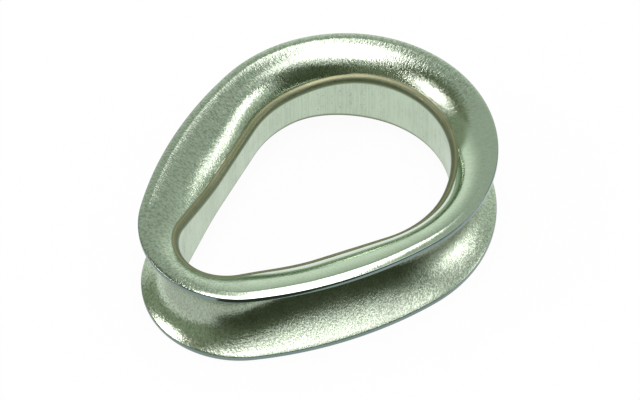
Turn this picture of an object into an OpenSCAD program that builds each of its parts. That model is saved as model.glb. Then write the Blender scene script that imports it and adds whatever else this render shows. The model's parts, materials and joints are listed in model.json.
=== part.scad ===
// Thimble eye: a closed, tear-shaped rope thimble pressed from one piece of steel tube.
// The wall of the eye runs round the inside, and both ends of the tube are flared outwards
// into flanges, so that the outside is a groove for the rope.
// The origin is the centre of the eye's round end, half way up. +X points out through the
// round end, the tip is at -X, and +Z points out through the upper flange. Millimetres.

/* [Eye] */
// Radius of the eye's round end, where the shackle, hook or pin bears
eye_round_r = 19.8; // [16:0.1:26]
// Radius of the eye's tip
eye_tip_r = 8.4; // [6:0.1:12]
// Distance from the centre of the round end to the centre of the tip
eye_pitch = 31.8; // [24:0.1:40]

/* [Wall of the eye] */
// Straight height of the wall at the round end
wall_h_round = 9.8; // [6:0.2:13]
// Straight height of the wall along the sides
wall_h_side = 6.4; // [4:0.2:12]
// Straight height of the wall at the tip
wall_h_tip = 12.6; // [6:0.2:13]
// Radius of the rounded lip where the wall turns into the flare
lip_r = 1.4; // [0.8:0.1:2]

/* [Flanges] */
// Height over both flanges
rim_h = 19; // [17:0.5:24]
// Depth of the flange, from the wall to the rim, at the round end
flange_round = 8.8; // [7:0.1:12]
// Depth of the flange at the tip
flange_tip = 6.6; // [5.5:0.1:11]
// How much larger the rim's radius is than the eye's at the tip
tip_spread = 10.7; // [8:0.1:13]
// How far the rim's round end is set back from the eye's
rim_setback = 0.7; // [0:0.1:2]
// Radius of the rim's long sides
rim_side_r = 76; // [60:1:120]
// Width of the land, the band between the crest of the flange and its edge
land_w = 1.6; // [1:0.1:2.5]
// Slope of the land down to the edge, in degrees
land_tilt = 11; // [5:1:20]
// Slope of the flare where it comes up to the crest, in degrees
flare_slope = 11; // [6:1:20]
// Slope of the groove's flank at the rim, in degrees
flank_slope = 28; // [20:1:32]

/* [Sheet] */
// Thickness of the sheet at the rim
rim_t = 1.0; // [0.6:0.1:1.8]
// Thickness of the sheet at the bottom of the groove
web_t = 2.2; // [1.6:0.1:3]

/* [Hidden] */

$fn = 128;
half_h = rim_h / 2;
steps_round = 16;       // stations round one half of the round end
steps_side = 9;         // stations along one side
steps_tip = 11;         // stations round one half of the tip
spare = 0.4;            // how far the swept body runs into the eye before the wall is trimmed
side_inset = 0.001;     // lets the straight sides cross the eye's circles instead of only touching them
lip_end = 84;           // turn of the lip at the crease where the flare starts, in degrees
lip_turns = [30, 57, lip_end];
lip_rise = sin(lip_turns[0]) / (1 - cos(lip_turns[0]));
crest_h = half_h + 0.06;    // height of the sharp crest, which is trimmed flat at half_h
edge_h = crest_h - land_w * tan(land_tilt);
groove_h = edge_h - rim_t;
flare_parts = [0.85, 0.66, 0.47, 0.28, 0.11];
groove_parts = [0.87, 0.74, 0.61, 0.48, 0.34, 0.2, 0.07];

// Angle of the wall's normal along the straight sides
side_turn = 90 + asin((eye_round_r - eye_tip_r) / eye_pitch);

// The rim: a round end and a tip joined by two large arcs, each tangent to both
rim_round_r = eye_round_r + flange_round + rim_setback;
rim_tip_r = eye_tip_r + tip_spread;
rim_round_x = -rim_setback;
rim_tip_x = -(eye_pitch + eye_tip_r + flange_tip - rim_tip_r);
rim_pitch = rim_round_x - rim_tip_x;
inset_round = rim_side_r - rim_round_r;
inset_tip = rim_side_r - rim_tip_r;
side_centre_dx = (pow(inset_tip, 2) - pow(inset_round, 2) - pow(rim_pitch, 2)) / (2 * rim_pitch);
side_centre = [rim_round_x + side_centre_dx, -sqrt(pow(inset_round, 2) - pow(side_centre_dx, 2))];
side_arc_x0 = touch_x([rim_tip_x, 0]);
side_arc_x1 = touch_x([rim_round_x, 0]);

// X of the point where the side arc touches the end circle about centre c
function touch_x(c) = side_centre.x + rim_side_r * (c.x - side_centre.x) / norm(c - side_centre);

// Distance from p along the unit vector u to the circle of radius r about c
function reach(p, u, c, r) =
    let (d = p - c, b = d * u)
    sqrt(b * b - d * d + r * r) - b;

// Distance from point p of the wall's upper half, along its normal u, to the rim
function flange_depth(p, u) =
    let (side = reach(p, u, side_centre, rim_side_r), x = p.x + side * u.x)
    x > side_arc_x1 ? reach(p, u, [rim_round_x, 0], rim_round_r)
    : x < side_arc_x0 ? reach(p, u, [rim_tip_x, 0], rim_tip_r)
    : side;

// Smooth step from 0 to 1
function ease(t) = let (s = min(1, max(0, t))) s * s * (3 - 2 * s);

// Half of the wall's straight height at x: lowest along the sides, higher at both ends
function wall_half(x) =
    let (to_round = ease((x - 0.15 * eye_round_r) / (0.85 * eye_round_r)),
         to_tip = ease((-x - 0.65 * eye_pitch) / (0.35 * eye_pitch + eye_tip_r)))
    (wall_h_side + (wall_h_round - wall_h_side) * to_round + (wall_h_tip - wall_h_side) * to_tip) / 2;

// Stations round the upper half of the eye's wall, each a turn of the normal and a point.
// None lies on the lines where the round ends meet the straight sides.
function turned(c, r, a) = [a, c + r * [cos(a), sin(a)]];
function along_side(t) =
    turned([-eye_pitch * t, 0], eye_round_r + (eye_tip_r - eye_round_r) * t, side_turn);
stations_half = concat(
    [for (i = [0 : steps_round - 1]) turned([0, 0], eye_round_r, side_turn * i / (steps_round - 0.5))],
    [for (i = [1 : steps_side]) along_side((i - 0.5) / steps_side)],
    [for (i = [steps_tip - 1 : -1 : 0])
        turned([-eye_pitch, 0], eye_tip_r, 180 - (180 - side_turn) * i / (steps_tip - 0.5))]);

// One half of the section, from the wall to the middle of the groove, as [outwards, up]
function half_section(depth, wall) =
    let (crease = [lip_r * (1 - cos(lip_end)), wall + lip_r * sin(lip_end)],
         crest = [depth - land_w, crest_h],
         run = crest - crease,
         lean = norm(run) / (2 * cos(atan2(run.y, run.x) - flare_slope)),
         knee = crest - lean * [cos(flare_slope), sin(flare_slope)],
         flank = [depth, groove_h],
         foot = [web_t, groove_h - (depth - web_t) * tan(flank_slope)])
    concat(
        [[-spare, wall - spare * lip_rise]],
        [for (a = lip_turns) [lip_r * (1 - cos(a)), wall + lip_r * sin(a)]],
        [for (t = flare_parts) t * t * crease + 2 * t * (1 - t) * knee + (1 - t) * (1 - t) * crest],
        [crest, [depth, edge_h], flank],
        [for (t = groove_parts) t * t * flank + 2 * t * (1 - t) * foot + (1 - t) * (1 - t) * [web_t, 0]]);

// The whole section: the upper half, then its mirror image from the groove back to the wall
function section(depth, wall) =
    let (half = half_section(depth, wall), n = len(half))
    concat(half, [for (i = [n - 1 : -1 : 0]) [half[i].x, -half[i].y]]);

// One ring of points across the sheet at a station, flipped to the other side when flip is -1
function ring(station, flip) =
    let (u = [cos(station[0]), sin(station[0])],
         p = station[1])
    [for (s = section(flange_depth(p, u), wall_half(p.x)))
        [p.x + s.x * u.x, flip * (p.y + s.x * u.y), s.y]];

// The swept body of the thimble, before its crests and the wall of the eye are trimmed
module swept_body() {
    last = len(stations_half) - 1;
    rings = concat(
        [for (i = [0 : last]) ring(stations_half[i], 1)],
        [for (i = [last - 1 : -1 : 1]) ring(stations_half[i], -1)]);
    n = len(rings[0]);
    m = len(rings);
    polyhedron(
        points = [for (r = rings) each r],
        faces = [for (i = [0 : m - 1], j = [0 : n - 1])
            let (a = i * n + j,
                 b = i * n + (j + 1) % n,
                 c = ((i + 1) % m) * n + (j + 1) % n,
                 d = ((i + 1) % m) * n + j)
            each [[a, b, c], [a, c, d]]]);
}

// The eye: two true cylinders and the straight sides between them
module eye_opening() {
    at_round = (eye_round_r - side_inset) * [cos(side_turn), sin(side_turn)];
    at_tip = [-eye_pitch, 0] + (eye_tip_r - side_inset) * [cos(side_turn), sin(side_turn)];
    linear_extrude(height = 2 * rim_h, center = true) {
        circle(r = eye_round_r);
        translate([-eye_pitch, 0]) circle(r = eye_tip_r);
        polygon([at_round, at_tip, [at_tip.x, -at_tip.y], [at_round.x, -at_round.y]]);
    }
}

// The whole thimble, one piece of sheet: wall, lips, flares, lands and groove
module thimble_body() {
    length = rim_round_r + rim_pitch + rim_tip_r;
    color([0.63, 0.69, 0.61])
    difference() {
        intersection() {
            swept_body();
            cube([3 * length, 3 * length, rim_h], center = true);
        }
        eye_opening();
    }
}

thimble_body();
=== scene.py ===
# %% [markdown]
# # Thimble eye
# A thimble eye is a liner for the eye of a wire rope. The rope lies in the groove round the outside, and a
# shackle or hook bears on the smooth wall of the eye inside. This one is pressed from one piece of steel
# tube: both ends of the tube are flared outwards into flanges, and the ring is squeezed to a tear shape.
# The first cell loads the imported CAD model. It gives the real size of everything that follows, in metres.

# %% Load the frame
import json
import math

import bmesh
import bpy
from mathutils import Matrix, Vector

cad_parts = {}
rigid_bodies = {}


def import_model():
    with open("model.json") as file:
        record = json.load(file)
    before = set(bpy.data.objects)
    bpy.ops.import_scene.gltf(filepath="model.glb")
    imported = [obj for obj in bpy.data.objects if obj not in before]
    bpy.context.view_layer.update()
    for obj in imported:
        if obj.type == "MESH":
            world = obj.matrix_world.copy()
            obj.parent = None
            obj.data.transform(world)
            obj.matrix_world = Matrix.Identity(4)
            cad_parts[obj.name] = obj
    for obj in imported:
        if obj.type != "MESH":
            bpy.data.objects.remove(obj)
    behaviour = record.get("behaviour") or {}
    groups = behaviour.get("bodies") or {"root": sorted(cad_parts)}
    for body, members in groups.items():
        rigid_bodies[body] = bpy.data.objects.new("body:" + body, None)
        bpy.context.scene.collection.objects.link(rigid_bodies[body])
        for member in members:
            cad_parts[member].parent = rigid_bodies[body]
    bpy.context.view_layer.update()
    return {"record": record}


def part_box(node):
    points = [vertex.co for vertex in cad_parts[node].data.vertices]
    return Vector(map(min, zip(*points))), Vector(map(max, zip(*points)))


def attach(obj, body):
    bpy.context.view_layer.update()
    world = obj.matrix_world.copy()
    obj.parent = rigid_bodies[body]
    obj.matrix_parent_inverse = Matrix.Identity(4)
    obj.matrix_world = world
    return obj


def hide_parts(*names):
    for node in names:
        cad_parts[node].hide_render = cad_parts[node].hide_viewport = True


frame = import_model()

low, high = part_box("thimble_body")
print("CAD box in mm:", [round(1000 * (b - a), 1) for a, b in zip(low, high)])

# %% [markdown]
# ## Driving sizes
# The box of the CAD node gives the length, width and height of the rim, and the eye_seat mount gives the
# radius and the straight height of the eye's round end. The other sizes are the named values of the CAD
# model, in millimetres, repeated here because this script reads nothing but the frame. The shape is then
# worked out from them by the same rule as in CAD, only with more steps, so it stays smooth up close.

# %% Sizes
MM = 0.001
seat = next(m for m in frame["record"]["mounts"] if m["name"] == "eye_seat")
EYE_ROUND_R = seat["dims"]["r_mm"] * MM
WALL_ROUND = seat["dims"]["length_mm"] * MM
EYE_TIP_R = 8.4 * MM
EYE_PITCH = 31.8 * MM
WALL_SIDE = 6.4 * MM
WALL_TIP = 12.6 * MM
LIP_R = 1.4 * MM
LIP_END = math.radians(84)
RIM_TIP_R = 19.1 * MM
RIM_SIDE_R = 76 * MM
LAND_W = 1.6 * MM
LAND_TILT = math.radians(11)
FLARE_SLOPE = math.radians(11)
FLANK_SLOPE = math.radians(28)
RIM_T = 1.0 * MM
WEB_T = 2.2 * MM
CREST_H = high.z - 0.01 * MM
RIM_ROUND_R = high.y
RIM_ROUND_X = high.x - RIM_ROUND_R
RIM_TIP_X = low.x + RIM_TIP_R
print("rim radii in mm:", round(RIM_ROUND_R / MM, 2), round(RIM_TIP_R / MM, 2))

# %% [markdown]
# ## The tear outline
# Seen from above, the eye is two circles joined by straight sides, and the rim is two larger circles joined
# by long arcs that touch both. A station is a place round the eye's wall: a point and the direction that
# faces out of the eye there. The depth of the flange at a station is the distance from the wall to the rim
# along that direction, found where the line meets one of the rim's three arcs.

# %% Outline
SIDE_TURN = math.pi / 2 + math.asin((EYE_ROUND_R - EYE_TIP_R) / EYE_PITCH)


def touching_side(round_x, round_r, tip_x, tip_r, side_r):
    """Centre of the long arc of radius side_r that touches both end circles from outside, on the +Y side."""
    pitch = round_x - tip_x
    inset_round, inset_tip = side_r - round_r, side_r - tip_r
    dx = (inset_tip ** 2 - inset_round ** 2 - pitch ** 2) / (2 * pitch)
    return Vector((round_x + dx, -math.sqrt(inset_round ** 2 - dx ** 2)))


def touch_x(side_centre, end_x):
    """X of the point where the long arc meets the end circle centred at end_x."""
    span = Vector((end_x, 0)) - side_centre
    return side_centre.x + RIM_SIDE_R * span.x / span.length


def reach(point, way, centre, radius):
    """Distance from point along the unit vector way to a circle that surrounds the point."""
    offset = point - centre
    along = offset.dot(way)
    return math.sqrt(along ** 2 - offset.length_squared + radius ** 2) - along


SIDE_CENTRE = touching_side(RIM_ROUND_X, RIM_ROUND_R, RIM_TIP_X, RIM_TIP_R, RIM_SIDE_R)
SIDE_X0 = touch_x(SIDE_CENTRE, RIM_TIP_X)
SIDE_X1 = touch_x(SIDE_CENTRE, RIM_ROUND_X)


def flange_depth(point, way):
    """Distance from a point of the wall's +Y half to the rim, along the wall's normal."""
    depth = reach(point, way, SIDE_CENTRE, RIM_SIDE_R)
    x = point.x + depth * way.x
    if x > SIDE_X1:
        return reach(point, way, Vector((RIM_ROUND_X, 0)), RIM_ROUND_R)
    if x < SIDE_X0:
        return reach(point, way, Vector((RIM_TIP_X, 0)), RIM_TIP_R)
    return depth


def ease(t):
    """Smooth step from 0 to 1."""
    t = min(1.0, max(0.0, t))
    return t * t * (3 - 2 * t)


def wall_half(x):
    """Half of the wall's straight height at x: lowest along the sides, higher at both ends."""
    to_round = ease((x - 0.15 * EYE_ROUND_R) / (0.85 * EYE_ROUND_R))
    to_tip = ease((-x - 0.65 * EYE_PITCH) / (0.35 * EYE_PITCH + EYE_TIP_R))
    return (WALL_SIDE + (WALL_ROUND - WALL_SIDE) * to_round + (WALL_TIP - WALL_SIDE) * to_tip) / 2


def polar(radius, turn, x=0.0):
    return Vector((x + radius * math.cos(turn), radius * math.sin(turn)))


def half_stations(per_round, per_side, per_tip):
    """Stations from the middle of the round end to the middle of the tip, as (point, way, depth, wall)."""
    found = []
    for i in range(per_round):
        turn = SIDE_TURN * i / per_round
        found.append((polar(EYE_ROUND_R, turn), turn))
    for i in range(per_side):
        t = i / per_side
        radius = EYE_ROUND_R + (EYE_TIP_R - EYE_ROUND_R) * t
        found.append((polar(radius, SIDE_TURN, -EYE_PITCH * t), SIDE_TURN))
    for i in range(per_tip + 1):
        turn = SIDE_TURN + (math.pi - SIDE_TURN) * i / per_tip
        found.append((polar(EYE_TIP_R, turn, -EYE_PITCH), turn))
    full = []
    for point, turn in found:
        way = polar(1.0, turn)
        full.append((point, way, flange_depth(point, way), wall_half(point.x)))
    return full


half = half_stations(64, 48, 40)
other_side = [(Vector((p.x, -p.y)), Vector((w.x, -w.y)), d, h) for p, w, d, h in half[-2:0:-1]]
STATIONS = half + other_side
print(len(STATIONS), "stations, flange depth in mm from", round(min(s[2] for s in STATIONS) / MM, 2),
      "to", round(max(s[2] for s in STATIONS) / MM, 2))

# %% [markdown]
# ## The section of the sheet
# Cut across, the upper half of the ring runs up the straight wall, turns over a rounded lip, drops into a
# crease and rises as a convex flare to the crest. Outside the crest the narrow land slopes down to the edge,
# and the groove curves back under it to the middle. Each level of this section becomes one edge loop, so
# loops are placed close together where the surface turns quickly: a sharp edge is two close loops.

# %% Section
WALL_SHARES = (0.0, 0.4, 0.75, 0.97)
WALL_TOP = len(WALL_SHARES) - 1
LIP_STEPS = 7
FLARE_STEPS = 20
GROOVE_STEPS = 22
EDGE_R = 0.22 * MM
EDGE_STEPS = 3
EDGE_UPPER_TURN = math.radians(80)
EDGE_LOWER_TURN = math.radians(60)
CRISP = 0.05 * MM


def section(depth, wall):
    """Half of the section, from the middle of the wall to the middle of the groove, as (outwards, up)."""
    levels = [(0.0, wall * t) for t in WALL_SHARES]
    for i in range(LIP_STEPS + 1):
        turn = LIP_END * i / LIP_STEPS
        levels.append((LIP_R * (1 - math.cos(turn)), wall + LIP_R * math.sin(turn)))
    crease = Vector(levels[-1])
    crest = Vector((depth - LAND_W, CREST_H))
    run = crest - crease
    lean = run.length / (2 * math.cos(math.atan2(run.y, run.x) - FLARE_SLOPE))
    knee = crest - lean * Vector((math.cos(FLARE_SLOPE), math.sin(FLARE_SLOPE)))
    for i in range(1, FLARE_STEPS):
        t = 1 - i / FLARE_STEPS
        levels.append(tuple(t * t * crease + 2 * t * (1 - t) * knee + (1 - t) ** 2 * crest))
    fall = math.tan(LAND_TILT)
    levels.append((crest.x - CRISP, CREST_H - CRISP * math.tan(FLARE_SLOPE)))
    levels.append((crest.x + CRISP, CREST_H - CRISP * fall))
    edge_x, edge_h = depth - EDGE_R, CREST_H - LAND_W * fall
    levels.append((depth - LAND_W / 2, CREST_H - LAND_W / 2 * fall))
    for i in range(EDGE_STEPS + 1):
        turn = EDGE_UPPER_TURN * (1 - i / EDGE_STEPS)
        levels.append((edge_x + EDGE_R * math.cos(turn), edge_h - EDGE_R + EDGE_R * math.sin(turn)))
    groove_h = edge_h - RIM_T
    levels.append((depth, (edge_h + groove_h) / 2))
    for i in range(EDGE_STEPS + 1):
        turn = EDGE_LOWER_TURN * i / EDGE_STEPS
        levels.append((edge_x + EDGE_R * math.cos(turn), groove_h + EDGE_R / 2 - EDGE_R * math.sin(turn)))
    flank, bottom = Vector((depth, groove_h)), Vector((WEB_T, 0))
    foot = Vector((WEB_T, groove_h - (depth - WEB_T) * math.tan(FLANK_SLOPE)))
    for i in range(1, GROOVE_STEPS + 1):
        t = 1 - i / GROOVE_STEPS
        levels.append(tuple(t * t * flank + 2 * t * (1 - t) * foot + (1 - t) ** 2 * bottom))
    return levels


SECTIONS = [section(depth, wall) for _, _, depth, wall in STATIONS]
LEVELS = len(SECTIONS[0])
CREASE = WALL_TOP + LIP_STEPS + 1
CREST = CREASE + FLARE_STEPS
GROOVE = LEVELS - GROOVE_STEPS
EDGE = range(CREST + 4, GROOVE - 1)
print(LEVELS, "levels in half of the section, the rim's edge from", EDGE[0], "to", EDGE[-1])


def place(station, level):
    """The point of the thimble at a station and a level of the section."""
    point, way, _, _ = STATIONS[station]
    out, up = SECTIONS[station][level]
    return Vector((point.x + out * way.x, point.y + out * way.y, up))


def run_of(station, level):
    """Distance along the section from the middle of the wall to a level."""
    steps = SECTIONS[station][:level + 1]
    return sum(math.dist(a, b) for a, b in zip(steps, steps[1:]))


LIP_BLEND = 2
GROOVE_BLEND = 3


def zone_of(level):
    """How much a level belongs to the wall, to the lip and to the groove, as three shares."""
    wall = 1.0 if level <= WALL_TOP else 0.0
    lip = min(1.0, (level - WALL_TOP) / LIP_BLEND) if WALL_TOP < level <= CREASE else 0.0
    groove = min(1.0, max(0.0, (level - GROOVE) / GROOVE_BLEND + 1))
    return Vector((wall, lip, groove))


# %% [markdown]
# ## The body, one loop at a time
# The body starts as a circle with one vertex for each station. In edit mode the circle is extruded without
# moving, and the new loop is slid to the next level of the section. A station number that is stored on the
# vertices is copied by each extrude, so every new vertex knows where it belongs. Spinning a profile would
# be quicker, but a spin keeps the section the same, and here the flange changes all the way round.
# Each vertex also gets marks for the finish: its place on the sheet, its zone, the edge, and the crease line
# where a painted highlight goes.

# %% Extrude the body
def deselect_all():
    bpy.ops.object.select_all(action="DESELECT")


deselect_all()
bpy.ops.mesh.primitive_circle_add(vertices=len(STATIONS), radius=EYE_ROUND_R)
thimble = bpy.context.object
thimble.name = thimble.data.name = "thimble_shell"
bpy.ops.object.mode_set(mode="EDIT")
mesh = bmesh.from_edit_mesh(thimble.data)
mesh.verts.layers.int.new("station")
mesh.verts.layers.float_vector.new("grain")
mesh.verts.layers.float_vector.new("zone")
mesh.verts.layers.float.new("edge")
mesh.verts.layers.float.new("crease")
station = mesh.verts.layers.int["station"]
for i, vert in enumerate(mesh.verts):
    vert[station] = i


def settle(mesh, level):
    """Put the selected loop at its level, and write down on its vertices where on the sheet they are."""
    station = mesh.verts.layers.int["station"]
    grain = mesh.verts.layers.float_vector["grain"]
    zone = mesh.verts.layers.float_vector["zone"]
    edge, crease = mesh.verts.layers.float["edge"], mesh.verts.layers.float["crease"]
    for vert in mesh.verts:
        if vert.select:
            foot = STATIONS[vert[station]][0]
            vert.co = place(vert[station], level)
            vert[grain] = (foot.x, foot.y, run_of(vert[station], level))
            vert[zone] = zone_of(level)
            vert[edge] = 1.0 if level in EDGE else 0.0
            # the crease mark sits on the lip's top by the crease and carries the painted golden highlight
            # line
            vert[crease] = 1.0 if level == CREASE - 1 else 0.0


bpy.ops.mesh.select_all(action="SELECT")
settle(mesh, 0)
for level in range(1, LEVELS):
    bpy.ops.mesh.extrude_edges_move(TRANSFORM_OT_translate={"value": (0, 0, 0)})
    settle(bmesh.from_edit_mesh(thimble.data), level)
bmesh.update_edit_mesh(thimble.data)
bpy.ops.object.mode_set(mode="OBJECT")
print("upper half:", len(thimble.data.vertices), "vertices,", len(thimble.data.polygons), "faces")

# %% [markdown]
# ## The lower flange
# Both ends of the tube are flared alike, so the lower flange is the mirror image of the upper one. The
# Mirror modifier makes it and welds the two along the middle of the wall and of the groove. Clipping holds
# that seam at zero height. The normals are worked out again after the weld, and shading is smooth except
# where two faces meet at more than 38 degrees.

# %% Mirror the lower flange
SHARP_TURN = math.radians(38)
flip = thimble.modifiers.new("lower_flange", "MIRROR")
flip.use_axis = (False, False, True)
flip.use_clip = True
flip.merge_threshold = 0.02 * MM
bpy.ops.object.modifier_apply(modifier=flip.name)
bpy.ops.object.mode_set(mode="EDIT")
bpy.ops.mesh.select_all(action="SELECT")
bpy.ops.mesh.remove_doubles(threshold=0.002 * MM)
bpy.ops.mesh.normals_make_consistent(inside=False)
bpy.ops.object.mode_set(mode="OBJECT")
bpy.ops.object.shade_smooth_by_angle(angle=SHARP_TURN)
print("whole body:", len(thimble.data.polygons), "faces")
deselect_all()

# %% [markdown]
# ## Camera
# The thimble is looked at from above its left side, from nearly a metre away through a long lens, so that
# it shows almost no perspective. The camera is placed by its own three directions, and it is tipped by less
# than a degree, as a camera in the hand would be.

# %% Camera
CAMERA_TURN = math.radians(42.2)
CAMERA_RISE = math.radians(49.7)
CAMERA_TIP = math.radians(0.7)
CAMERA_FAR = 975 * MM
ahead = Vector((math.cos(CAMERA_RISE) * math.sin(CAMERA_TURN), math.cos(CAMERA_RISE) * math.cos(CAMERA_TURN),
                -math.sin(CAMERA_RISE)))
right = Vector((math.cos(CAMERA_TURN), -math.sin(CAMERA_TURN), 0))
above = right.cross(ahead)
aim = -5.3 * MM * right - 4.5 * MM * above
side_axis = math.cos(CAMERA_TIP) * right - math.sin(CAMERA_TIP) * above
up_axis = math.sin(CAMERA_TIP) * right + math.cos(CAMERA_TIP) * above

bpy.ops.object.camera_add(location=aim - CAMERA_FAR * ahead)
camera = bpy.context.object
camera.name = "camera"
camera.rotation_euler = Matrix((side_axis, up_axis, -ahead)).transposed().to_euler()
camera.data.sensor_width = 36
camera.data.lens = 286
camera.data.clip_start = 0.05
camera.data.clip_end = 20
bpy.context.scene.camera = camera
deselect_all()
print("camera at", [round(c, 3) for c in camera.location])

# %% [markdown]
# ## Steel
# The thimble is bare bright steel with a faint green cast. It was stretched when its ends were flared, and
# stretched steel goes finely rough: the flare has short ripples that run across the sheet, the wall has
# fine upright lines from the tube's drawing, and the groove is pitted. The finish is a metallic shader whose
# bump, roughness and colour come from noise. The noise reads the grain attribute, so that it follows the
# sheet round the eye: its first two numbers say where round the eye, the third how far across the sheet.

# %% Steel helpers
steel = bpy.data.materials.new("bright_steel")
steel.use_nodes = True
tree = steel.node_tree
shader = tree.nodes["Principled BSDF"]


def node(kind, settings=None, **inputs):
    """Add a node to the steel. Inputs are given by name, or by i and a number, as a value or a link."""
    made = tree.nodes.new(kind)
    for name, value in (settings or {}).items():
        setattr(made, name, value)
    for name, value in inputs.items():
        socket = made.inputs[int(name[1:])] if name[1:].isdigit() else made.inputs[name.replace("_", " ")]
        if isinstance(value, bpy.types.NodeSocket):
            tree.links.new(value, socket)
        else:
            socket.default_value = value
    return made


def math_node(operation, a, b=0.0, clamp=False):
    return node("ShaderNodeMath", {"operation": operation, "use_clamp": clamp}, i0=a, i1=b).outputs[0]


def remap(value, from_low, from_high, to_low=0.0, to_high=1.0):
    """Bring a value from one range into another, clamped and eased at both ends."""
    made = node("ShaderNodeMapRange", {"interpolation_type": "SMOOTHSTEP"}, Value=value, From_Min=from_low,
                From_Max=from_high, To_Min=to_low, To_Max=to_high)
    return made.outputs["Result"]


def blend_colour(share, a, b):
    """Colour a where share is 0, colour b where it is 1."""
    made = node("ShaderNodeMix", {"data_type": "RGBA"})
    for index, value in ((0, share), (6, a), (7, b)):
        if isinstance(value, bpy.types.NodeSocket):
            tree.links.new(value, made.inputs[index])
        else:
            made.inputs[index].default_value = value
    return made.outputs[2]


grain = node("ShaderNodeAttribute", {"attribute_name": "grain"}).outputs["Vector"]
zone_mark = node("ShaderNodeAttribute", {"attribute_name": "zone"}).outputs["Vector"]
zones = node("ShaderNodeSeparateXYZ", i0=zone_mark)
on_wall, on_lip, in_groove = zones.outputs[0], zones.outputs[1], zones.outputs[2]
on_edge = node("ShaderNodeAttribute", {"attribute_name": "edge"}).outputs["Fac"]
# the crease mark: where the painted golden highlight line goes
crease_highlight_mark = node("ShaderNodeAttribute", {"attribute_name": "crease"}).outputs["Fac"]


def sheet_noise(across, along, detail=2.0, roughness=0.55, shift=0.0):
    """Noise on the sheet, in features per metre: across counts round the eye, along over the section."""
    placed = node("ShaderNodeMapping", i0=grain, i1=(shift, shift, shift), i3=(across, across, along))
    made = node("ShaderNodeTexNoise", i0=placed.outputs[0], Scale=1.0, Detail=detail, Roughness=roughness)
    return made.outputs[0]


print("steel helpers ready, shader:", shader.name)

# %% [markdown]
# ## Texture of the sheet
# The flare's ripples and the groove's pits are dents about 0.3 mm apart, too small to model, so they are
# noise that bends the light through a Bump node. The wall's lines are the same kind of noise drawn out tall.
# Slow waves, about 6 mm long, make the reflections run a little unevenly, as they do on pressed sheet. The
# side towards -Y is rubbed smooth, so the ripples fade out there.

# %% Noises on the sheet
ripples = sheet_noise(3400, 1500, detail=3, roughness=0.65)
pits = sheet_noise(3600, 2100, detail=3, roughness=0.65, shift=3.0)
wall_lines = sheet_noise(5200, 200, detail=2, shift=7.0)
waves = sheet_noise(170, 120, detail=1, shift=11.0)
patches = sheet_noise(260, 190, detail=3, shift=5.0)
print("noises:", sum(made.type == "TEX_NOISE" for made in tree.nodes))

# %% Where the ripples run
RUBBED_FROM, RUBBED_TO = -3 * MM, -14 * MM
RUBBED_SHARE = 0.22
place_of = node("ShaderNodeSeparateXYZ", i0=node("ShaderNodeTexCoord").outputs["Object"])
rubbed = remap(place_of.outputs[1], RUBBED_TO, RUBBED_FROM, RUBBED_SHARE, 1.0)
off_wall_and_lip = math_node("SUBTRACT", math_node("SUBTRACT", 1.0, on_wall), on_lip)
flare_share = math_node("SUBTRACT", off_wall_and_lip, in_groove, True)
flare_share = math_node("MULTIPLY", flare_share, rubbed)
print("ripples fade out between Y", RUBBED_FROM / MM, "and", RUBBED_TO / MM, "mm")

# %% Bump
WAVE_HEIGHT = 0.05 * MM
FINE_HEIGHT = 0.055 * MM
WALL_LINE_SHARE = 0.5
PIT_SHARE = 0.9
ripple_height = math_node("MULTIPLY", ripples, flare_share)
wall_height = math_node("MULTIPLY", wall_lines, math_node("MULTIPLY", on_wall, WALL_LINE_SHARE))
groove_height = math_node("MULTIPLY", pits, math_node("MULTIPLY", in_groove, PIT_SHARE))
fine = math_node("ADD", math_node("ADD", ripple_height, wall_height), groove_height)
wavy = node("ShaderNodeBump", Strength=1.0, Distance=WAVE_HEIGHT, Height=waves)
bump = node("ShaderNodeBump", Strength=1.0, Distance=FINE_HEIGHT, Height=fine, Normal=wavy.outputs[0])
tree.links.new(bump.outputs[0], shader.inputs["Normal"])
print("bump heights in mm:", round(WAVE_HEIGHT / MM, 3), round(FINE_HEIGHT / MM, 3))

# %% Roughness
FLARE_ROUGH = 0.11
WALL_ROUGHER, LIP_ROUGHER, GROOVE_ROUGHER = 0.22, 0.36, 0.08
worn = remap(patches, 0.35, 0.7, -0.04, 0.06)
wall_rough = math_node("MULTIPLY", on_wall, WALL_ROUGHER)
rough = math_node("ADD", wall_rough, math_node("MULTIPLY", on_lip, LIP_ROUGHER))
rough = math_node("ADD", rough, math_node("MULTIPLY", in_groove, GROOVE_ROUGHER))
rough = math_node("ADD", math_node("ADD", rough, FLARE_ROUGH), worn)
tree.links.new(rough, shader.inputs["Roughness"])
print("roughness from", FLARE_ROUGH, "on the flare to", round(FLARE_ROUGH + LIP_ROUGHER, 2), "on the lip")

# %% [markdown]
# ## Colour of the steel
# A metal's base colour tints what it reflects, so a dark base darkens all that the steel shows. The lip is
# painted a dark olive, a painted shade for the dark reflection along it, and its top by the crease gets a
# painted golden highlight line. The cut edge of the rim is a dark blue-green, and the wall is made a little
# darker. The low spots of the ripples, pits and lines get painted shade, which keeps the texture in sight
# where the reflection is even, and painted shade darkens the groove towards its bottom, between the flanges.
# Each step blends one more colour in by a share.

# %% Steel colours
STEEL = (0.57, 0.70, 0.54, 1)
# painted shade: the lip's dark olive stands in for the dark reflection along the lip
LIP_SHADE_OLIVE = (0.18, 0.21, 0.12, 1)
DARKER_WALL = (0.30, 0.34, 0.27, 1)
# painted highlight: the golden line on the lip's top by the crease
GOLD_HIGHLIGHT = (0.42, 0.40, 0.19, 1)
CUT_EDGE = (0.13, 0.20, 0.21, 1)
# painted shade for the low spots of the ripples, pits and wall lines
LOW_SPOT_SHADE = (0.20, 0.23, 0.17, 1)
# painted shade for the bottom of the groove, between the flanges
GROOVE_SHADE = (0.16, 0.18, 0.13, 1)
WORN_GREY = (0.40, 0.43, 0.36, 1)
SPECK = (0.22, 0.24, 0.20, 1)
print("steel colour:", STEEL[:3])

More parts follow.
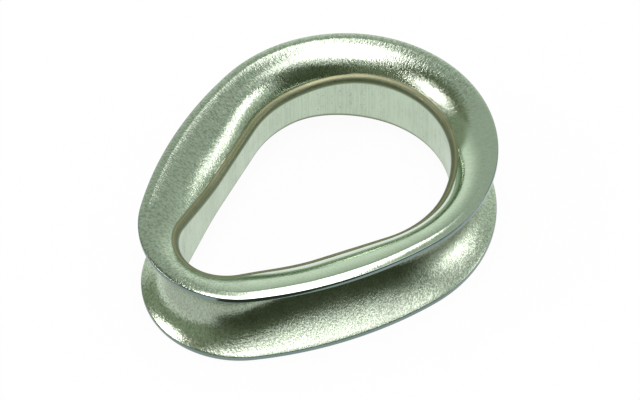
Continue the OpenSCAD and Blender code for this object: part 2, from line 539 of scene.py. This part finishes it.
# %% Blend the colours
dark_specks = remap(sheet_noise(2100, 1900, detail=1, shift=17.0), 0.66, 0.74, 0.0, 0.5)
# painted shade: the lip is darkened to olive in place of the dark reflection it shows
colour = blend_colour(math_node("MULTIPLY", on_lip, 0.95), STEEL, LIP_SHADE_OLIVE)
# makes the wall a little darker
colour = blend_colour(math_node("MULTIPLY", on_wall, 0.2), colour, DARKER_WALL)
# painted shade: the low spots of the ripples, the pits and the wall's drawn lines are darkened
ripple_shade = math_node("MULTIPLY", remap(ripples, 0.60, 0.36, 0.0, 0.55), flare_share)
pit_shade = math_node("MULTIPLY", remap(pits, 0.60, 0.36, 0.0, 0.55), in_groove)
wall_line_shade = math_node("MULTIPLY", remap(wall_lines, 0.58, 0.40, 0.0, 0.18), on_wall)
dent_shade = math_node("ADD", math_node("ADD", ripple_shade, pit_shade), wall_line_shade)
# painted highlight: a golden line on the lip's top where it catches the overhead light
colour = blend_colour(math_node("MULTIPLY", crease_highlight_mark, 0.6), colour, GOLD_HIGHLIGHT)
colour = blend_colour(math_node("MULTIPLY", on_edge, 0.9), colour, CUT_EDGE)
# blends in the painted shade of the low spots
colour = blend_colour(dent_shade, colour, LOW_SPOT_SHADE)
# painted shade: the groove darkens towards its bottom, between the two flanges
groove_shade_share = remap(math_node("ABSOLUTE", place_of.outputs[2]), 3.5 * MM, 6.0 * MM, 0.5, 0.0)
colour = blend_colour(math_node("MULTIPLY", groove_shade_share, in_groove), colour, GROOVE_SHADE)
colour = blend_colour(remap(patches, 0.3, 0.75, 0.0, 0.14), colour, WORN_GREY)
colour = blend_colour(math_node("MULTIPLY", dark_specks, on_wall), colour, SPECK)
tree.links.new(colour, shader.inputs["Base Color"])
shader.inputs["Metallic"].default_value = 1
print("colour steps:", sum(made.type == "MIX" for made in tree.nodes))

# %% Hand the thimble over
thimble.data.materials.append(steel)
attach(thimble, "root")
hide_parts("thimble_body")
print("steel nodes:", len(tree.nodes))

# %% [markdown]
# ## Floor
# The floor is a plain pale sheet. To the camera, and in the metal, most of its colour is plain white, which
# comes from Light Path, and the rest is a matt white that takes the thimble's shadow.

# %% Floor
FLOOR_WIDTH = 4
FLOOR_PLAIN_SHARE = 0.95
bpy.ops.mesh.primitive_plane_add(size=FLOOR_WIDTH, location=(0, 0, low.z))
floor = bpy.context.object
floor.name = floor.data.name = "floor"
floor_paint = bpy.data.materials.new("floor_paint")
floor_paint.use_nodes = True
paint = floor_paint.node_tree
paint.nodes.clear()
matt = paint.nodes.new("ShaderNodeBsdfDiffuse")
matt.inputs["Color"].default_value = (0.88, 0.88, 0.87, 1)
white = paint.nodes.new("ShaderNodeEmission")
white.inputs["Strength"].default_value = 1.0
path = paint.nodes.new("ShaderNodeLightPath")
seen = paint.nodes.new("ShaderNodeMath")
seen.operation = "MAXIMUM"
paint.links.new(path.outputs["Is Camera Ray"], seen.inputs[0])
paint.links.new(path.outputs["Is Glossy Ray"], seen.inputs[1])
seen_through = paint.nodes.new("ShaderNodeMath")
seen_through.operation = "MAXIMUM"
paint.links.new(seen.outputs[0], seen_through.inputs[0])
paint.links.new(path.outputs["Is Transmission Ray"], seen_through.inputs[1])
share = paint.nodes.new("ShaderNodeMath")
share.operation = "MULTIPLY"
share.inputs[1].default_value = FLOOR_PLAIN_SHARE
paint.links.new(seen_through.outputs[0], share.inputs[0])
floor_mix = paint.nodes.new("ShaderNodeMixShader")
paint.links.new(share.outputs[0], floor_mix.inputs[0])
paint.links.new(matt.outputs[0], floor_mix.inputs[1])
paint.links.new(white.outputs[0], floor_mix.inputs[2])
paint.links.new(floor_mix.outputs[0], paint.nodes.new("ShaderNodeOutputMaterial").inputs["Surface"])
floor.data.materials.append(floor_paint)
deselect_all()
print("floor at", round(low.z / MM, 2), "mm")

# %% [markdown]
# ## Light
# Bright metal shows what stands round it, so the light is made of things to see. A softbox overhead gives
# the broad band on the flare, and three fainter ones carry it on to the far end, the right and the near end.
# A small bright softbox at each side gives the short streaks. Directions are counted from the camera: turn 0
# is straight away from it and 90 is to its right, and rise is the height above the horizon.

# %% Softboxes
AWAY = Vector((math.sin(CAMERA_TURN), math.cos(CAMERA_TURN), 0))
UP = Vector((0, 0, 1))


def towards(turn, rise):
    """Unit vector from the thimble in a direction given from the camera, in degrees."""
    turn, rise = math.radians(turn), math.radians(rise)
    return math.cos(rise) * (math.cos(turn) * AWAY + math.sin(turn) * right) + math.sin(rise) * UP


LAMP_COLOUR = (1.0, 0.88, 0.97)


def softbox(name, place, width, height, level, across):
    """An area lamp, in metres, aimed at the thimble; level 1 looks as bright as a white floor."""
    bpy.ops.object.light_add(type="AREA", location=place)
    lamp = bpy.context.object
    lamp.name = lamp.data.name = name
    lamp.data.shape = "RECTANGLE"
    lamp.data.size, lamp.data.size_y = width, height
    lamp.data.color = LAMP_COLOUR
    lamp.data.energy = level * math.pi * width * height
    back = place.normalized()
    top = back.cross(across).normalized()
    lamp.rotation_euler = Matrix((top.cross(back), top, back)).transposed().to_euler()
    deselect_all()


softbox("softbox_overhead", 1.0 * UP - 0.03 * right - 0.15 * AWAY, 0.48, 0.58, 4.6, right)
softbox("softbox_far_end", 1.0 * UP + 0.10 * right + 0.32 * AWAY, 0.22, 0.36, 3.0, right)
softbox("softbox_corner", 1.0 * UP + 0.44 * right - 0.19 * AWAY, 0.44, 0.36, 1.9, right)
softbox("softbox_near_end", 1.0 * UP + 0.18 * right - 0.66 * AWAY, 0.28, 0.34, 1.3, right)
softbox("softbox_right", 0.8 * towards(87, 28), 0.30, 0.14, 4.0, AWAY)
softbox("softbox_left", 0.5 * towards(-93, 41), 0.16, 0.09, 9.0, AWAY)

# %% [markdown]
# ## Dark cards
# Dark bands next to the bright ones are what makes metal look like metal. They come from cards that stand
# round the thimble and show only in its surface: dark ones behind the camera and on the left, a paler one
# low down on the right. One lies on the floor on the camera's side as a painted shadow: it stands in for the
# thimble's own shadow on the floor, and darkens the groove from below.
# A curtain is a row of upright cards, so that it keeps its distance from the thimble all along.

# %% Card helpers
def dark_card(name, corners, colour):
    """A card that only shows in the metal: the camera doesn't see it and it casts no shadow."""
    deselect_all()
    bpy.ops.mesh.primitive_plane_add(size=1)
    card = bpy.context.object
    card.name = card.data.name = name
    for vert, corner in zip(card.data.vertices, corners):
        vert.co = corner
    card.visible_camera = False
    card.visible_diffuse = False
    card.visible_shadow = False
    paint = bpy.data.materials.new(name + "_paint")
    paint.use_nodes = True
    flat = paint.node_tree.nodes["Principled BSDF"]
    flat.inputs["Base Color"].default_value = colour
    flat.inputs["Roughness"].default_value = 1.0
    flat.inputs["Specular IOR Level"].default_value = 0.0
    card.data.materials.append(paint)
    deselect_all()


CARD_TURN = 20


def curtain(name, turn_from, turn_to, top_rise, far, colour, bottom_rise=None):
    """Upright cards side by side from one turn to another, and from a rise, or the floor, up to a rise."""
    count = max(1, round(abs(turn_to - turn_from) / CARD_TURN))
    for i in range(count):
        a = far * towards(turn_from + (turn_to - turn_from) * i / count, 0)
        b = far * towards(turn_from + (turn_to - turn_from) * (i + 1) / count, 0)
        top = far * math.tan(math.radians(top_rise)) * UP
        bottom = low.z * UP if bottom_rise is None else far * math.tan(math.radians(bottom_rise)) * UP
        dark_card(f"{name}_{i + 1}", (a + bottom, b + bottom, a + top, b + top), colour)


print("about", CARD_TURN, "degrees to a card")

# %% Cards round the thimble
# dark tone of the near cards and of the painted floor shadow card
CARD_NEAR_AND_FLOOR_SHADOW = (0.075, 0.09, 0.055, 1)
CARD_RIGHT = (0.42, 0.43, 0.38, 1)
CARD_SIDE = (0.13, 0.15, 0.10, 1)
CARD_LEFT = (0.27, 0.31, 0.23, 1)
CARD_LEFT_TOP = (0.15, 0.17, 0.11, 1)
LEFT_STEP = 37
curtain("card_near", 116, 182, 51, 0.6, CARD_NEAR_AND_FLOOR_SHADOW)
curtain("card_right", 48, 116, 13, 1.0, CARD_RIGHT)
curtain("card_side", 182, 212, 52, 0.6, CARD_SIDE)
curtain("card_left", 212, 308, LEFT_STEP, 0.6, CARD_LEFT)
curtain("card_left_top", 212, 308, 67, 0.6, CARD_LEFT_TOP, LEFT_STEP)
# painted shadow: a dark card on the floor on the camera's side stands in for the thimble's shadow seen in
# the groove
lift = (low.z + 1 * MM) * UP
near = -0.046 * AWAY + lift
far_edge = -0.6 * AWAY + lift
floor_shadow_corners = (near - 0.03 * right, near + 0.35 * right, far_edge - 0.2 * right, far_edge + 0.5 * right)
dark_card("card_floor_shadow", floor_shadow_corners, CARD_NEAR_AND_FLOOR_SHADOW)

# %% [markdown]
# ## The room
# Everything else that the metal shows is the room: pale near the horizon and greyer overhead, by a colour
# ramp on the height of the direction. The plain Standard view keeps white as white.

# %% Room
world = bpy.data.worlds.new("pale_room")
bpy.context.scene.world = world
world.use_nodes = True
room = world.node_tree
direction = room.nodes.new("ShaderNodeTexCoord")
height = room.nodes.new("ShaderNodeSeparateXYZ")
room.links.new(direction.outputs["Generated"], height.inputs[0])
tone = room.nodes.new("ShaderNodeValToRGB")
tone.color_ramp.interpolation = "EASE"
tone.color_ramp.elements[0].position = 0.15
tone.color_ramp.elements[0].color = (0.89, 0.93, 0.87, 1)
tone.color_ramp.elements[1].position = 0.6
tone.color_ramp.elements[1].color = (0.46, 0.49, 0.45, 1)
room.links.new(height.outputs["Z"], tone.inputs[0])
room.links.new(tone.outputs[0], room.nodes["Background"].inputs["Color"])
bpy.context.scene.view_settings.view_transform = "Standard"
print("room colours:", len(tone.color_ramp.elements))
